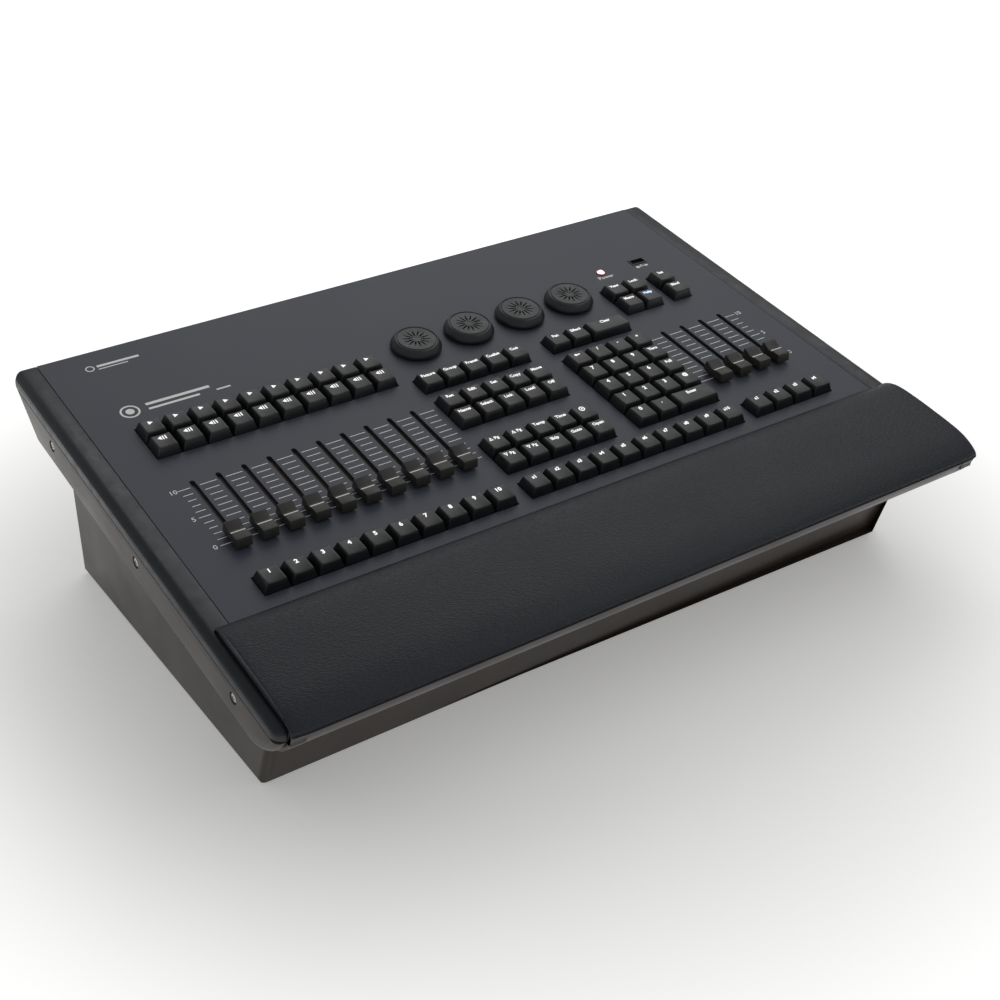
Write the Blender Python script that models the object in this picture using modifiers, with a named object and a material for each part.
"""Lighting control desk: wedge chassis, sloping key panel, faders, encoders and a padded armrest.

Metres, +Z up, +X to the desk's right, +Y to its rear. The origin is on the floor under the middle.
Most shapes are laid out on the sloping panel: u runs right, v runs up the slope, w points out of it.
The outer faces, the panel grid and the moving pieces share the named constants below.
"""
import math
from dataclasses import dataclass

import bmesh
import bpy
from mathutils import Matrix, Vector

MM = 0.001
GAP = 0.3 * MM

# Panel plane.
TILT = math.radians(8.6)
PANEL_Y = -88.7 * MM
PANEL_Z = 112.0 * MM
PANEL_HALF = 268.0 * MM
PANEL_FRONT = -107.4 * MM
PANEL_REAR = 288.5 * MM
PANEL_THICK = 2.0 * MM

# Side profile of the upper body and the base.
SLAB_BOTTOM = -34.5 * MM
NOSE_CENTRE = (-70.0 * MM, 3.5 * MM)
NOSE_RADIUS = 38.0 * MM
SLAB_REAR_LOW = 247.2 * MM
SLAB_REAR_TIP = -7.8 * MM
BASE_FRONT_Y = -37.6 * MM
BASE_REAR_Y = 245.0 * MM
BASE_DEPTH = 109.0 * MM
BASE_LEAN = 0.316
SHEET = 2.0 * MM
FOOT_HEIGHT = 3.0 * MM

# Side rails and cheeks.
SIDE_WIDTH = 18.4 * MM
SIDE_CENTRE = PANEL_HALF + GAP + SIDE_WIDTH / 2
RAIL_DEPTH = 8.3 * MM
RAIL_FRONT = -103.4 * MM
RAIL_ROUND = 5.5 * MM
CHEEK_ROUND = 5.0 * MM
CHEEK_WALL = 2.5 * MM

# Armrest pad.
PAD_HALF = 279.3 * MM
PAD_ROUND = 4.0 * MM

# Key grid.
PITCH = 19.05 * MM
KEY_BASE = 18.1 * MM
KEY_TOP_U = 13.6 * MM
KEY_TOP_V = 14.0 * MM
KEY_HEIGHT = 7.2 * MM
KEY_SKIRT = 3.0 * MM
KEY_TRAVEL = 4.0 * MM
CUT_MARGIN = 0.5 * MM

# Faders and encoders.
FADER_TRAVEL = 60.0 * MM
FADER_LOW = 53.8 * MM
FADER_LEFT = -228.6 * MM
FADER_RIGHT = 173.0 * MM
SLOT_WIDTH = 3.8 * MM
SLOT_SPAN = (47.3 * MM, 121.3 * MM)
ENCODER_FIRST = -10.5 * MM
ENCODER_STEP = 2.5 * PITCH
ENCODER_V = 188.1 * MM
ENCODER_RADIUS = 19.6 * MM
ENCODER_HEIGHT = 8.0 * MM

# Switch board under the panel.
BOARD_TOP = -15.7 * MM
BOARD_THICK = 1.6 * MM
SWITCH_TOP = -9.2 * MM
STEM = 4.4 * MM
STEM_END = -10.7 * MM

# Rear face.
REAR_WALL = PANEL_Y + BASE_REAR_Y
INLET_X, INLET_Z = -205.0 * MM, 55.0 * MM
DMX_X = (-90.0 * MM, -40.0 * MM)
DMX_Z = 55.0 * MM
NETWORK_X, NETWORK_Z = 20.0 * MM, 55.0 * MM
VIDEO_X, VIDEO_Z = 80.0 * MM, 55.0 * MM
ROCKER_TILT = math.radians(10.0)

USB_U, USB_V = 222.6 * MM, 213.8 * MM
LED_U, LED_V = 183.6 * MM, 212.6 * MM


@dataclass(frozen=True)
class KeyRow:
    """One row of keys on a common carrier: start of the row, and (offset, width) in key pitches."""

    name: str
    u: float
    v: float
    keys: tuple

    def centres(self):
        """Middle of each key along u, with its width in pitches."""
        return [(self.u + start * PITCH + (width * PITCH - PITCH + KEY_BASE) / 2, width)
                for start, width in self.keys]


def singles(count):
    """Single-width keys side by side."""
    return tuple((index, 1) for index in range(count))


U_LEFT, U_MID, U_PAD, U_RIGHT = -237.8 * MM, -36.7 * MM, 78.2 * MM, 164.0 * MM
V_SOFT, V_PAD, V_EDIT, V_FUNC, V_TOP = 0.0, 29.0 * MM, 85.2 * MM, 133.3 * MM, 151.6 * MM
MENU = ((0, 1), (1, 1), (2.5, 1))
ROWS = (
    KeyRow("keys_flash", U_LEFT, V_SOFT, singles(10)),
    KeyRow("keys_playback_lower", U_LEFT, V_TOP, singles(10)),
    KeyRow("keys_playback_upper", U_LEFT, V_TOP + PITCH, singles(10)),
    KeyRow("keys_soft", U_MID, V_SOFT, singles(10)),
    KeyRow("keys_page_lower", U_MID, V_PAD, singles(5)),
    KeyRow("keys_page_upper", U_MID, V_PAD + PITCH, singles(5)),
    KeyRow("keys_edit_lower", U_MID, V_EDIT, singles(5)),
    KeyRow("keys_edit_upper", U_MID, V_EDIT + PITCH, singles(5)),
    KeyRow("keys_function", U_MID, V_FUNC, singles(5)),
    KeyRow("keys_number_1", U_PAD, V_PAD, ((0, 1), (1, 1), (2, 2))),
    KeyRow("keys_number_2", U_PAD, V_PAD + PITCH, singles(4)),
    KeyRow("keys_number_3", U_PAD, V_PAD + 2 * PITCH, singles(4)),
    KeyRow("keys_number_4", U_PAD, V_PAD + 3 * PITCH, singles(4)),
    KeyRow("keys_number_5", U_PAD, V_PAD + 4 * PITCH, singles(4)),
    KeyRow("keys_clear", U_PAD, V_FUNC, ((0, 1), (1, 1), (2, 2))),
    KeyRow("keys_menu_lower", U_RIGHT, V_TOP, MENU),
    KeyRow("keys_menu_upper", U_RIGHT, V_TOP + PITCH, MENU),
    KeyRow("keys_select", U_RIGHT, V_SOFT, singles(4)),
)
# Rectangular panel openings: start u, start v, columns, rows.
OPENINGS = (
    (U_LEFT, V_SOFT, 10, 1), (U_LEFT, V_TOP, 10, 2), (U_MID, V_SOFT, 10, 1), (U_MID, V_PAD, 5, 2),
    (U_MID, V_EDIT, 5, 2), (U_MID, V_FUNC, 5, 1), (U_PAD, V_PAD, 4, 5), (U_PAD, V_FUNC, 4, 1),
    (U_RIGHT, V_TOP, 2, 2), (U_RIGHT + 2.5 * PITCH, V_TOP, 1, 2), (U_RIGHT, V_SOFT, 4, 1),
)
FADERS = tuple(FADER_LEFT + i * PITCH for i in range(10)) + tuple(FADER_RIGHT + i * PITCH for i in range(4))
ENCODERS = tuple(ENCODER_FIRST + i * ENCODER_STEP for i in range(4))

PROFILE = Matrix(((0, 0, 1, 0), (1, 0, 0, 0), (0, 1, 0, 0), (0, 0, 0, 1)))


def panel_matrix(u=0.0, v=0.0, w=0.0):
    """World matrix of a frame on the sloping panel."""
    lean = Matrix.Translation((0, PANEL_Y, PANEL_Z)) @ Matrix.Rotation(TILT, 4, "X")
    return lean @ Matrix.Translation((u, v, w))


def level_point(y, z):
    """Panel coordinates (v, w) of a point given level from the panel's origin."""
    return y * math.cos(TILT) + z * math.sin(TILT), z * math.cos(TILT) - y * math.sin(TILT)


def clear_scene():
    """Empty the file."""
    for obj in list(bpy.data.objects):
        bpy.data.objects.remove(obj, do_unlink=True)


def collection(name):
    """Make a collection under the scene."""
    made = bpy.data.collections.new(name)
    bpy.context.scene.collection.children.link(made)
    return made


def material(name, colour, roughness, metallic=0.0):
    """Principled material in one linear colour."""
    made = bpy.data.materials.new(name)
    made.use_nodes = True
    shader = made.node_tree.nodes["Principled BSDF"]
    shader.inputs["Base Color"].default_value = (*colour, 1.0)
    shader.inputs["Roughness"].default_value = roughness
    shader.inputs["Metallic"].default_value = metallic
    return made


def add_object(name, mesh, matrix, look, group):
    """Link a mesh as a named object."""
    obj = bpy.data.objects.new(name, mesh)
    group.objects.link(obj)
    obj.matrix_world = matrix
    if look is not None:
        mesh.materials.clear()
        mesh.materials.append(look)
    return obj


def add_cutter(name, mesh, matrix, group):
    """Link a mesh that only takes part in a Boolean."""
    obj = add_object(name, mesh, matrix, None, group)
    obj.hide_render = True
    obj.display_type = "WIRE"
    return obj


def boolean(obj, operation, other):
    """Add an exact Boolean to an object."""
    step = obj.modifiers.new(operation.lower(), "BOOLEAN")
    step.operation = operation
    step.solver = "EXACT"
    step.object = other
    return step


def rectangle(u0, u1, v0, v1):
    """Corners of a rectangle."""
    return [(u0, v0), (u1, v0), (u1, v1), (u0, v1)]


def round_rectangle(cu, cv, su, sv, radius, steps=3):
    """Rectangle with rounded corners."""
    points = []
    for quarter, (au, av) in enumerate(((1, 1), (-1, 1), (-1, -1), (1, -1))):
        for step in range(steps + 1):
            angle = math.radians(90 * (quarter + step / steps))
            points.append((cu + au * (su / 2 - radius) + radius * math.cos(angle),
                           cv + av * (sv / 2 - radius) + radius * math.sin(angle)))
    return points


def circle(cu, cv, radius, count=20):
    """Points round a circle."""
    turn = 2 * math.pi / count
    return [(cu + radius * math.cos(i * turn), cv + radius * math.sin(i * turn)) for i in range(count)]


def plate_mesh(name, outlines, thickness):
    """Mesh of a flat outline with holes, centred on its own plane."""
    curve = bpy.data.curves.new(name, "CURVE")
    curve.dimensions = "2D"
    curve.fill_mode = "BOTH"
    curve.extrude = thickness / 2
    for outline in outlines:
        spline = curve.splines.new("POLY")
        spline.points.add(len(outline) - 1)
        for point, (x, y) in zip(spline.points, outline):
            point.co = (x, y, 0, 1)
        spline.use_cyclic_u = True
    guide = bpy.data.objects.new(name, curve)
    bpy.context.scene.collection.objects.link(guide)
    graph = bpy.context.evaluated_depsgraph_get()
    mesh = bpy.data.meshes.new_from_object(guide.evaluated_get(graph))
    bpy.data.objects.remove(guide, do_unlink=True)
    bpy.data.curves.remove(curve)
    shape = bmesh.new()
    shape.from_mesh(mesh)
    bmesh.ops.remove_doubles(shape, verts=shape.verts, dist=0.00001)
    bmesh.ops.recalc_face_normals(shape, faces=shape.faces)
    shape.to_mesh(mesh)
    shape.free()
    mesh.name = name
    return mesh


def add_box(shape, low, high):
    """Add a box to a bmesh and return its vertices."""
    size = Vector(high) - Vector(low)
    middle = (Vector(high) + Vector(low)) / 2
    made = bmesh.ops.create_cube(shape, size=1.0)["verts"]
    bmesh.ops.scale(shape, vec=size, verts=made)
    bmesh.ops.translate(shape, vec=middle, verts=made)
    return made


def add_pit_box(shape, low, high, mouth, depth):
    """Add a box with a square pit of the given mouth in its top."""
    made = add_box(shape, low, high)
    top = next(f for f in {f for v in made for f in v.link_faces} if f.normal.z > 0.9)
    rim = (high[0] - low[0] - mouth) / 2
    bmesh.ops.inset_region(shape, faces=[top], thickness=rim)
    sunk = bmesh.ops.extrude_face_region(shape, geom=[top])["geom"]
    bmesh.ops.delete(shape, geom=[top], context="FACES_ONLY")
    floor = [item for item in sunk if isinstance(item, bmesh.types.BMVert)]
    bmesh.ops.translate(shape, vec=(0, 0, -depth), verts=floor)


def mesh_of(name, build):
    """Run a bmesh builder and return its mesh."""
    shape = bmesh.new()
    build(shape)
    for face in shape.faces:
        face.normal_update()
    mesh = bpy.data.meshes.new(name)
    shape.to_mesh(mesh)
    shape.free()
    return mesh


def box_mesh(name, low, high):
    """Mesh of one box."""
    return mesh_of(name, lambda shape: add_box(shape, low, high))


def bevel_edges(mesh, chosen, width, segments):
    """Round the edges of a mesh for which chosen(edge) is true."""
    shape = bmesh.new()
    shape.from_mesh(mesh)
    shape.normal_update()
    edges = [edge for edge in shape.edges if edge.calc_face_angle(0) > 0.35 and chosen(edge)]
    bmesh.ops.bevel(shape, geom=edges, offset=width, segments=segments, profile=0.5,
                    affect="EDGES", clamp_overlap=True)
    shape.to_mesh(mesh)
    shape.free()


def smooth(obj, angle=40):
    """Shade an object smooth, with its sharp edges kept."""
    obj.data.shade_smooth()
    obj.data.set_sharp_from_angle(angle=math.radians(angle))


def turned(name, profile, matrix, look, group, steps=24):
    """Turned piece: (radius, height) pairs from the top of the axis down the outer side."""
    mesh = bpy.data.meshes.new(name)
    points = [(radius, 0.0, height) for radius, height in profile]
    mesh.from_pydata(points, [(i, i + 1) for i in range(len(points) - 1)], [])
    obj = add_object(name, mesh, matrix, look, group)
    spin = obj.modifiers.new("turn", "SCREW")
    spin.axis = "Z"
    spin.steps = steps
    spin.render_steps = steps
    spin.use_merge_vertices = True
    spin.merge_threshold = 0.00001
    return obj


def nose_arc(radius, top, steps=9):
    """Points of the nose from its top edge at height top round to the underside."""
    cv, cw = NOSE_CENTRE
    first = math.pi + math.asin((cw - top) / radius)
    return [(cv + radius * math.cos(first + (1.5 * math.pi - first) * i / steps),
             cw + radius * math.sin(first + (1.5 * math.pi - first) * i / steps)) for i in range(steps + 1)]


def rear_end(top):
    """Slanted rear end of the upper body, from the underside up to height top."""
    slope = (PANEL_REAR - SLAB_REAR_LOW) / (SLAB_REAR_TIP - SLAB_BOTTOM)
    points = [(SLAB_REAR_LOW, SLAB_BOTTOM)]
    if top > SLAB_REAR_TIP:
        return points + [(PANEL_REAR, SLAB_REAR_TIP), (PANEL_REAR, top)]
    return points + [(SLAB_REAR_LOW + slope * (top - SLAB_BOTTOM), top)]


def chassis_outline(top):
    """Side outline of the folded chassis in panel coordinates."""
    lean_y = BASE_FRONT_Y
    front_low = level_point(lean_y, -BASE_DEPTH)
    rear_low = level_point(BASE_REAR_Y, -BASE_DEPTH)
    front = level_point(lean_y - BASE_LEAN, -BASE_DEPTH + 1.0)
    ledge = SLAB_BOTTOM - 0.6 * MM
    share = (ledge - front_low[1]) / (front[1] - front_low[1])
    front_top = (front_low[0] + share * (front[0] - front_low[0]), ledge)
    rise = (ledge - rear_low[1]) / math.cos(TILT)
    rear_top = (rear_low[0] + rise * math.sin(TILT), ledge)
    return nose_arc(NOSE_RADIUS, top - 0.6 * MM) + [front_top, front_low, rear_low, rear_top] + rear_end(top)


def add_chassis(looks, parts, cutters):
    """Folded sheet chassis, open under the top panel, with the rear cut-outs."""
    mesh = plate_mesh("chassis_shell", [chassis_outline(-PANEL_THICK - GAP)], 2 * PANEL_HALF)
    shape = bmesh.new()
    shape.from_mesh(mesh)
    bmesh.ops.dissolve_limit(shape, angle_limit=0.001, verts=shape.verts, edges=shape.edges)
    shape.normal_update()
    lid = [f for f in shape.faces if f.normal.y > 0.999]
    bmesh.ops.delete(shape, geom=lid, context="FACES_ONLY")
    shape.to_mesh(mesh)
    shape.free()
    obj = add_object("chassis_shell", mesh, panel_matrix() @ PROFILE, looks["base"], parts)
    wall = obj.modifiers.new("sheet", "SOLIDIFY")
    wall.thickness = SHEET
    wall.offset = -1.0
    wall.use_even_offset = True
    holes = [("cut_inlet", INLET_X, INLET_Z, 57.4 * MM, 25.4 * MM),
             ("cut_network", NETWORK_X, NETWORK_Z, 17.2 * MM, 15.2 * MM),
             ("cut_video", VIDEO_X, VIDEO_Z, 19.4 * MM, 10.6 * MM)]
    for name, x, z, width, height in holes:
        low = (x - width / 2, REAR_WALL - 8 * MM, z - height / 2)
        high = (x + width / 2, REAR_WALL + 8 * MM, z + height / 2)
        boolean(obj, "DIFFERENCE", add_cutter(name, box_mesh(name, low, high), Matrix.Identity(4), cutters))
    for index, x in enumerate(DMX_X, 1):
        name = f"cut_dmx_{index}"
        mesh = plate_mesh(name, [circle(0, 0, 11.6 * MM, 24)], 20 * MM)
        turn = Matrix.Translation((x, REAR_WALL, DMX_Z)) @ Matrix.Rotation(-math.pi / 2, 4, "X")
        boolean(obj, "DIFFERENCE", add_cutter(name, mesh, turn, cutters))
    return obj


def add_top_panel(looks, parts):
    """Flat top plate with every key, slot, shaft and socket opening."""
    outlines = [rectangle(-PANEL_HALF, PANEL_HALF, PANEL_FRONT, PANEL_REAR)]
    for u, v, columns, rows in OPENINGS:
        outlines.append(rectangle(u - CUT_MARGIN, u + (columns - 1) * PITCH + KEY_BASE + CUT_MARGIN,
                                  v - CUT_MARGIN, v + (rows - 1) * PITCH + KEY_BASE + CUT_MARGIN))
    for u in FADERS:
        middle = sum(SLOT_SPAN) / 2
        outlines.append(round_rectangle(u, middle, SLOT_WIDTH, SLOT_SPAN[1] - SLOT_SPAN[0],
                                        SLOT_WIDTH / 2 - 0.01 * MM, 2))
    for u in ENCODERS:
        outlines.append(circle(u, ENCODER_V, 4.5 * MM, 16))
    outlines.append(circle(LED_U, LED_V, 3.4 * MM, 16))
    outlines.append(rectangle(USB_U - 7.7 * MM, USB_U + 7.7 * MM, USB_V - 4.1 * MM, USB_V + 4.1 * MM))
    mesh = plate_mesh("top_panel", outlines, PANEL_THICK)
    return add_object("top_panel", mesh, panel_matrix(w=-PANEL_THICK / 2), looks["panel"], parts)


def add_sides(looks, parts):
    """Black top rails and the metal-coloured cheeks under them, left and right."""
    for name, side in (("left", -1), ("right", 1)):
        place = panel_matrix(u=side * SIDE_CENTRE) @ PROFILE
        outer = side * SIDE_WIDTH / 2
        front = RAIL_FRONT
        rail = plate_mesh(f"rail_{name}", [rectangle(front, PANEL_REAR, -RAIL_DEPTH, 0)], SIDE_WIDTH)

        def rail_edge(edge, outer=outer, front=front):
            a, b = (v.co for v in edge.verts)
            long_top = abs(a.z - outer) < 1e-5 and abs(b.z - outer) < 1e-5 and a.y > -1e-5 and b.y > -1e-5
            upright = abs(a.z - outer) < 1e-5 and abs(b.z - outer) < 1e-5 and abs(a.x - b.x) < 1e-5
            nose = a.x < front + 1e-5 and b.x < front + 1e-5 and a.y > -1e-5 and b.y > -1e-5
            return long_top or upright or nose

        bevel_edges(rail, rail_edge, RAIL_ROUND, 4)
        smooth(add_object(f"rail_{name}", rail, place, looks["rail"], parts))

        top = -RAIL_DEPTH - GAP
        cheek = plate_mesh(f"cheek_{name}", [nose_arc(NOSE_RADIUS, top) + rear_end(top)], SIDE_WIDTH)
        shape = bmesh.new()
        shape.from_mesh(cheek)
        bmesh.ops.dissolve_limit(shape, angle_limit=0.001, verts=shape.verts, edges=shape.edges)
        shape.normal_update()
        inner = [f for f in shape.faces if f.normal.z * side < -0.999]
        bmesh.ops.delete(shape, geom=inner, context="FACES_ONLY")
        rounded = []
        for edge in shape.edges:
            a, b = (v.co for v in edge.verts)
            on_outer = abs(a.z - outer) < 1e-5 and abs(b.z - outer) < 1e-5
            along_top = a.y > top - 1e-5 and b.y > top - 1e-5
            if on_outer and not along_top and edge.calc_face_angle(0) > 0.35:
                rounded.append(edge)
        bmesh.ops.bevel(shape, geom=rounded, offset=CHEEK_ROUND, segments=3, profile=0.5,
                        affect="EDGES", clamp_overlap=True)
        shape.to_mesh(cheek)
        shape.free()
        obj = add_object(f"cheek_{name}", cheek, place, looks["base"], parts)
        wall = obj.modifiers.new("wall", "SOLIDIFY")
        wall.thickness = CHEEK_WALL
        wall.offset = -1.0
        wall.use_even_offset = True
        smooth(obj)


def add_pad(looks, parts):
    """Crowned armrest cushion over the front of the panel, with a lip over the nose."""
    lip = -108.5 * MM
    back = [(-13.0 * MM, GAP), (-13.4 * MM, 2.4 * MM), (-16.0 * MM, 5.4 * MM), (-22.0 * MM, 7.8 * MM)]
    crown = [(-36.0 * MM, 9.6 * MM), (-58.0 * MM, 10.2 * MM), (-80.0 * MM, 9.4 * MM)]
    front = [(-95.0 * MM, 7.2 * MM), (-102.6 * MM, 4.6 * MM), (-107.6 * MM, 1.9 * MM),
             (-109.9 * MM, -0.8 * MM), (-109.9 * MM, -2.1 * MM), (-109.1 * MM, -2.6 * MM), (lip, GAP)]
    mesh = plate_mesh("armrest_pad", [back + crown + front], 2 * PAD_HALF)
    bevel_edges(mesh, lambda e: all(abs(abs(v.co.z) - PAD_HALF) < 1e-5 for v in e.verts)
                and any(v.co.y > 2 * MM for v in e.verts), PAD_ROUND, 2)
    smooth(add_object("armrest_pad", mesh, panel_matrix() @ PROFILE, looks["leather"], parts))


def add_feet(looks, parts):
    """Four rubber feet under the base."""
    front_y = PANEL_Y + BASE_FRONT_Y + 24 * MM
    rear_y = PANEL_Y + BASE_REAR_Y - 24 * MM
    top = FOOT_HEIGHT - GAP
    for index, (x, y) in enumerate(((-240, front_y), (240, front_y), (-240, rear_y), (240, rear_y)), 1):
        mesh = plate_mesh(f"foot_{index}", [circle(0, 0, 9 * MM, 20)], top)
        place = Matrix.Translation((x * MM, y, top / 2))
        smooth(add_object(f"foot_{index}", mesh, place, looks["rubber"], parts))


def add_key(shape, cu, cv, width):
    """One keycap: a skirt with a tapered crown."""
    base_u = KEY_BASE + (width - 1) * PITCH
    half_u, half_v = base_u / 2, KEY_BASE / 2
    made = add_box(shape, (cu - half_u, cv - half_v, 0), (cu + half_u, cv + half_v, KEY_HEIGHT))
    crown = [v for v in made if v.co.z > KEY_HEIGHT / 2]
    grow = ((base_u - KEY_BASE + KEY_TOP_U) / base_u, KEY_TOP_V / KEY_BASE, 1)
    bmesh.ops.scale(shape, vec=grow, verts=crown, space=Matrix.Translation((-cu, -cv, 0)))
    skirt = next(f for f in {f for v in made for f in v.link_faces} if f.normal.z < -0.9)
    moved = bmesh.ops.extrude_face_region(shape, geom=[skirt])["geom"]
    bmesh.ops.delete(shape, geom=[skirt], context="FACES_ONLY")
    edge = [item for item in moved if isinstance(item, bmesh.types.BMVert)]
    bmesh.ops.translate(shape, vec=(0, 0, -KEY_SKIRT), verts=edge)


def add_key_rows(looks, parts, cutters):
    """Every key row: caps and plungers joined by a carrier bar just under the panel."""
    for row in ROWS:
        centres = row.centres()
        mid_u = (centres[0][0] + centres[-1][0]) / 2
        mid_v = row.v + KEY_BASE / 2
        reach = (centres[-1][0] - centres[0][0]) / 2 + 5 * MM
        bar = box_mesh(row.name, (-reach, -3 * MM, -4.6 * MM), (reach, 3 * MM, -2.6 * MM))
        obj = add_object(row.name, bar, panel_matrix(mid_u, mid_v), looks["key"], parts)

        def caps(shape, centres=centres, mid_u=mid_u):
            for cu, width in centres:
                add_key(shape, cu - mid_u, 0, width)

        def plungers(shape, centres=centres, mid_u=mid_u):
            for cu, _ in centres:
                add_box(shape, (cu - mid_u - STEM / 2, -STEM / 2, STEM_END),
                        (cu - mid_u + STEM / 2, STEM / 2, -3.6 * MM))

        for kind, build in (("caps", caps), ("plungers", plungers)):
            name = f"{kind}_{row.name}"
            boolean(obj, "UNION", add_cutter(name, mesh_of(name, build), obj.matrix_world, cutters))


def fader_outline():
    """Side outline of a fader cap: a flat front block, an index land and a rising rear horn."""
    points = ((-9.9, 1.6), (10.8, 1.6), (9.6, 9.6), (8.4, 9.8), (4.8, 8.3), (2.2, 7.1), (0.9, 7.5), (-0.9, 7.5),
              (-1.3, 8.3), (-8.5, 8.6))
    return [(v * MM, w * MM) for v, w in points]


def add_faders(looks, parts, cutters):
    """Fader caps with the lever and the carriage that runs in the bank under the panel."""
    cap = plate_mesh("fader_cap", [fader_outline()], 11.2 * MM)
    cap.transform(PROFILE)

    def lever(shape):
        add_box(shape, (-1.1 * MM, -2 * MM, -6.4 * MM), (1.1 * MM, 2 * MM, 2.6 * MM))

    def carriage(shape):
        add_box(shape, (-2.4 * MM, -4.5 * MM, -10.6 * MM), (2.4 * MM, 4.5 * MM, -5.6 * MM))

    for index, u in enumerate(FADERS, 1):
        name = f"fader_{index:02d}"
        obj = add_object(name, cap.copy(), panel_matrix(u, FADER_LOW), looks["cap"], parts)
        for kind, build in (("lever", lever), ("carriage", carriage)):
            piece = f"{kind}_{index:02d}"
            boolean(obj, "UNION", add_cutter(piece, mesh_of(piece, build), obj.matrix_world, cutters))


def add_fader_banks(looks, parts):
    """Metal banks with one guide channel for each fader."""
    low, high = SLOT_SPAN[0] + 0.5 * MM, SLOT_SPAN[1] - 0.5 * MM
    for name, columns in (("fader_bank_left", FADERS[:10]), ("fader_bank_right", FADERS[10:])):
        outer = rectangle(columns[0] - 9 * MM, columns[-1] + 9 * MM, low - 6 * MM, high + 6 * MM)
        guides = [rectangle(u - 2.8 * MM, u + 2.8 * MM, low, high) for u in columns]
        mesh = plate_mesh(name, [outer] + guides, 9.7 * MM)
        place = panel_matrix(w=-PANEL_THICK - GAP - 4.85 * MM)
        add_object(name, mesh, place, looks["steel"], parts)


def add_encoders(looks, parts):
    """Encoder knobs turned in one piece with their shafts."""
    radius, height, under = ENCODER_RADIUS, ENCODER_HEIGHT, 0.8 * MM
    profile = [(0, height), (radius - 4.6 * MM, height), (radius - 4.0 * MM, height - 0.6 * MM),
               (radius - 3.4 * MM, height - 0.1 * MM), (radius - 2.6 * MM, height - 0.5 * MM),
               (radius - 0.2 * MM, 3.2 * MM), (radius, 2.2 * MM), (radius - 0.8 * MM, under),
               (3.0 * MM, under), (3.0 * MM, -13.4 * MM), (0, -13.4 * MM)]
    for index, u in enumerate(ENCODERS, 1):
        smooth(turned(f"encoder_{index}", profile, panel_matrix(u, ENCODER_V), looks["knob"], parts, 28))


def add_switch_board(looks, parts, cutters):
    """Board under the panel with a switch for each key and a body for each encoder."""
    windows = []
    for columns in (FADERS[:10], FADERS[10:]):
        windows.append(rectangle(columns[0] - 11 * MM, columns[-1] + 11 * MM,
                                 SLOT_SPAN[0] - 8 * MM, SLOT_SPAN[1] + 8 * MM))
    outer = rectangle(-250 * MM, 250 * MM, -6 * MM, 222 * MM)
    board = plate_mesh("switch_board", [outer] + windows, BOARD_THICK)
    place = panel_matrix(w=BOARD_TOP - BOARD_THICK / 2)
    obj = add_object("switch_board", board, place, looks["board"], parts)
    foot = BOARD_TOP - 0.6 * MM

    def bodies(shape):
        half = 6.8 * MM
        for row in ROWS:
            for cu, _ in row.centres():
                cv = row.v + KEY_BASE / 2
                add_pit_box(shape, (cu - half, cv - half, foot), (cu + half, cv + half, SWITCH_TOP),
                            5.6 * MM, 6.0 * MM)
        for u in ENCODERS:
            add_pit_box(shape, (u - half, ENCODER_V - half, foot), (u + half, ENCODER_V + half, -6 * MM),
                        7.0 * MM, 9.2 * MM)
        for u in (-246 * MM, -44 * MM, 157 * MM, 246 * MM):
            for v in (-1 * MM, 138 * MM, 218 * MM):
                add_box(shape, (u - 2 * MM, v - 2 * MM, foot), (u + 2 * MM, v + 2 * MM, -PANEL_THICK - GAP))

    boolean(obj, "UNION", add_cutter("switch_bodies", mesh_of("switch_bodies", bodies), panel_matrix(), cutters))


def add_boards(looks, parts, cutters):
    """Main board on posts and the power supply, both on the chassis floor."""
    floor = FOOT_HEIGHT + SHEET + GAP
    board = box_mesh("main_board", (-100 * MM, 50 * MM, 13 * MM), (140 * MM, 122 * MM, 14.6 * MM))
    obj = add_object("main_board", board, Matrix.Identity(4), looks["board"], parts)

    def fittings(shape):
        for x in (-92 * MM, 132 * MM):
            for y in (58 * MM, 114 * MM):
                add_box(shape, (x - 3 * MM, y - 3 * MM, floor), (x + 3 * MM, y + 3 * MM, 13.6 * MM))
        for x, y, sx, sy, top in ((0, 80, 42, 42, 34), (60, 84, 30, 24, 18), (-60, 84, 24, 30, 18)):
            add_box(shape, ((x - sx / 2) * MM, (y - sy / 2) * MM, 14 * MM),
                    ((x + sx / 2) * MM, (y + sy / 2) * MM, top * MM))

    boolean(obj, "UNION", add_cutter("fittings", mesh_of("fittings", fittings), Matrix.Identity(4), cutters))
    supply = box_mesh("power_supply", (-245 * MM, 10 * MM, floor), (-150 * MM, 118 * MM, 42 * MM))
    bevel_edges(supply, lambda e: True, 1.5 * MM, 1)
    add_object("power_supply", supply, Matrix.Identity(4), looks["steel"], parts)


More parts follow.
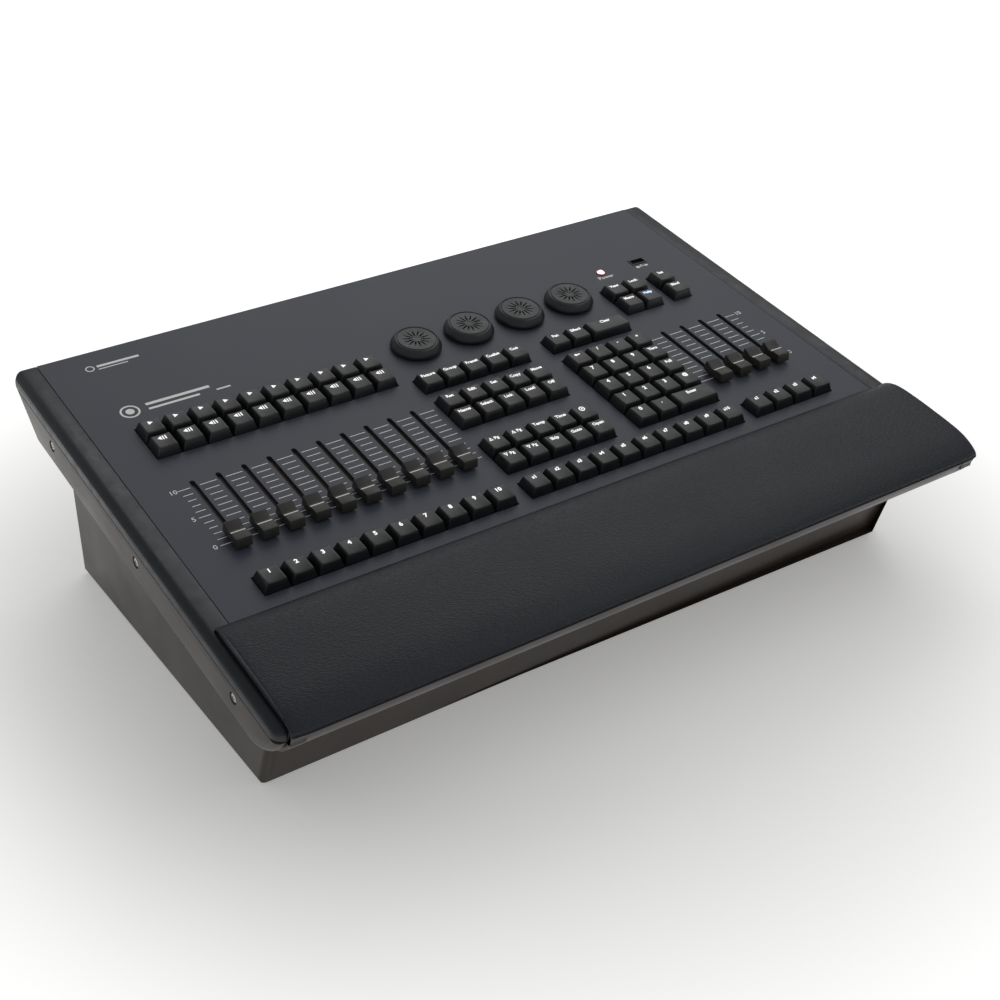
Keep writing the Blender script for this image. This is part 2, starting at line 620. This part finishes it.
def add_inlet(looks, parts, cutters):
    """Mains inlet module: an appliance socket with three pins beside the power switch window."""
    place = Matrix.Translation((INLET_X, REAR_WALL, INLET_Z))
    flange_back = GAP
    front = 2.0 * MM
    body = box_mesh("mains_inlet", (-28 * MM, -26 * MM, -12 * MM), (28 * MM, front, 12 * MM))
    obj = add_object("mains_inlet", body, place, looks["socket"], parts)
    flange = plate_mesh("inlet_flange", [round_rectangle(0, 0, 64 * MM, 32 * MM, 3 * MM)], front - flange_back)
    turn = place @ Matrix.Translation((0, (front + flange_back) / 2, 0)) @ Matrix.Rotation(-math.pi / 2, 4, "X")
    boolean(obj, "UNION", add_cutter("inlet_flange", flange, turn, cutters))

    def hollows(shape):
        add_box(shape, (-25.4 * MM, -15 * MM, -8.2 * MM), (-1.6 * MM, 6 * MM, 8.2 * MM))
        add_box(shape, (8.4 * MM, -14 * MM, -10.2 * MM), (22.2 * MM, 6 * MM, 10.2 * MM))

    def pins(shape):
        for x, z in ((-20.5, -2.0), (-13.5, 2.0), (-6.5, -2.0)):
            add_box(shape, ((x - 1) * MM, -16 * MM, (z - 2) * MM), ((x + 1) * MM, -4.5 * MM, (z + 2) * MM))

    boolean(obj, "DIFFERENCE", add_cutter("inlet_hollows", mesh_of("inlet_hollows", hollows), place, cutters))
    boolean(obj, "UNION", add_cutter("inlet_pins", mesh_of("inlet_pins", pins), place, cutters))

    outline = [(-3.0, -8.0), (0.6, -9.4), (4.4, -9.4), (2.5, 0.0), (4.4, 9.4), (0.6, 9.4), (-3.0, 8.0)]
    rocker = plate_mesh("power_rocker", [[(y * MM, z * MM) for y, z in outline]], 12.8 * MM)
    pivot = Matrix.Translation((INLET_X + 15.3 * MM, REAR_WALL, INLET_Z))
    lean = Matrix.Rotation(ROCKER_TILT, 4, "X")
    add_object("power_rocker", rocker, pivot @ lean @ PROFILE, looks["key"], parts)


def add_connectors(looks, parts, cutters):
    """Control outputs, network port and video port on the rear, USB port and lamp on the panel."""
    face = 2.0 * MM
    for index, x in enumerate(DMX_X, 1):
        turn = Matrix.Translation((x, REAR_WALL, DMX_Z)) @ Matrix.Rotation(-math.pi / 2, 4, "X")
        profile = [(0, face), (7.6, face), (7.6, -8.0), (9.6, -8.0), (9.6, face), (11.0, face),
                   (11.0, -22.0), (0, -22.0)]
        profile = [(r * MM, z if z == face else z * MM) for r, z in profile]
        obj = turned(f"dmx_output_{index}", profile, turn, looks["socket"], parts, 24)
        plate = plate_mesh(f"dmx_plate_{index}", [round_rectangle(0, 0, 26 * MM, 31 * MM, 3 * MM),
                                                  circle(0, 0, 10.3 * MM, 24)], face - GAP)
        lift = turn @ Matrix.Translation((0, 0, (face + GAP) / 2))
        boolean(obj, "UNION", add_cutter(f"dmx_plate_{index}", plate, lift, cutters))
        for hole in range(5):
            angle = math.radians(90 + 72 * hole + 36)
            pin = plate_mesh(f"dmx_hole_{index}_{hole}", [circle(4.6 * MM * math.cos(angle),
                             4.6 * MM * math.sin(angle), 1.3 * MM, 8)], 16 * MM)
            boolean(obj, "DIFFERENCE", add_cutter(pin.name, pin, turn, cutters))
        smooth(obj)

    place = Matrix.Translation((NETWORK_X, REAR_WALL, NETWORK_Z))
    body = box_mesh("network_port", (-8.2 * MM, -20 * MM, -7.2 * MM), (8.2 * MM, 1.5 * MM, 7.2 * MM))
    obj = add_object("network_port", body, place, looks["steel"], parts)

    def jack(shape):
        add_box(shape, (-5.9 * MM, -13 * MM, -4.4 * MM), (5.9 * MM, 6 * MM, 4.0 * MM))

    boolean(obj, "DIFFERENCE", add_cutter("jack_hollow", mesh_of("jack_hollow", jack), place, cutters))

    place = Matrix.Translation((VIDEO_X, REAR_WALL, VIDEO_Z))
    obj = add_object("video_port", box_mesh("video_port", (-9.2 * MM, -12 * MM, -4.9 * MM),
                                            (9.2 * MM, 1.5 * MM, 4.9 * MM)), place, looks["steel"], parts)

    def shield(shape):
        add_box(shape, (-15.4 * MM, GAP, -6.2 * MM), (15.4 * MM, 1.2 * MM, 6.2 * MM))

    boolean(obj, "UNION", add_cutter("video_flange", mesh_of("video_flange", shield), place, cutters))
    snout = box_mesh("video_snout", (-8.4 * MM, 1.0 * MM, -4.1 * MM), (8.4 * MM, 6.0 * MM, 4.1 * MM))
    boolean(obj, "UNION", add_cutter("video_snout", snout, place, cutters))

    place = panel_matrix(USB_U, USB_V)
    body = box_mesh("usb_port", (-7.3 * MM, -3.7 * MM, -15 * MM), (7.3 * MM, 3.7 * MM, 0.4 * MM))
    obj = add_object("usb_port", body, place, looks["steel"], parts)
    throat = box_mesh("usb_throat", (-6.3 * MM, -2.7 * MM, -12 * MM), (6.3 * MM, 2.7 * MM, 3 * MM))
    boolean(obj, "DIFFERENCE", add_cutter("usb_throat", throat, place, cutters))
    tongue = box_mesh("usb_tongue", (-5.6 * MM, -0.4 * MM, -13 * MM), (5.6 * MM, 1.4 * MM, -4.6 * MM))
    boolean(obj, "UNION", add_cutter("usb_tongue", tongue, place, cutters))

    lamp = [(0, 2.2), (1.4, 1.9), (2.5, 1.0), (2.9, 0.0), (2.9, -6.0), (0, -6.0)]
    smooth(turned("power_lamp", [(r * MM, z * MM) for r, z in lamp], panel_matrix(LED_U, LED_V),
                  looks["lamp"], parts, 16))


def main():
    """Build every sub-part."""
    clear_scene()
    parts = collection("lighting_control_desk")
    cutters = collection("cutters")
    looks = {
        "panel": material("panel_paint", (0.062, 0.066, 0.084), 0.55),
        "base": material("base_paint", (0.085, 0.075, 0.066), 0.45, 0.3),
        "rail": material("rail_black", (0.018, 0.020, 0.022), 0.4),
        "leather": material("armrest_leather", (0.035, 0.037, 0.041), 0.6),
        "rubber": material("rubber", (0.015, 0.015, 0.015), 0.9),
        "key": material("key_plastic", (0.016, 0.016, 0.016), 0.5),
        "cap": material("fader_plastic", (0.022, 0.022, 0.021), 0.5),
        "knob": material("knob_rubber", (0.020, 0.021, 0.022), 0.7),
        "steel": material("plated_steel", (0.55, 0.55, 0.56), 0.35, 1.0),
        "board": material("board_green", (0.01, 0.09, 0.04), 0.5),
        "socket": material("socket_black", (0.012, 0.012, 0.012), 0.5),
        "lamp": material("lamp_lens", (0.85, 0.75, 0.75), 0.2),
    }
    add_chassis(looks, parts, cutters)
    add_top_panel(looks, parts)
    add_sides(looks, parts)
    add_pad(looks, parts)
    add_feet(looks, parts)
    add_key_rows(looks, parts, cutters)
    add_faders(looks, parts, cutters)
    add_fader_banks(looks, parts)
    add_encoders(looks, parts)
    add_switch_board(looks, parts, cutters)
    add_boards(looks, parts, cutters)
    add_inlet(looks, parts, cutters)
    add_connectors(looks, parts, cutters)


main()
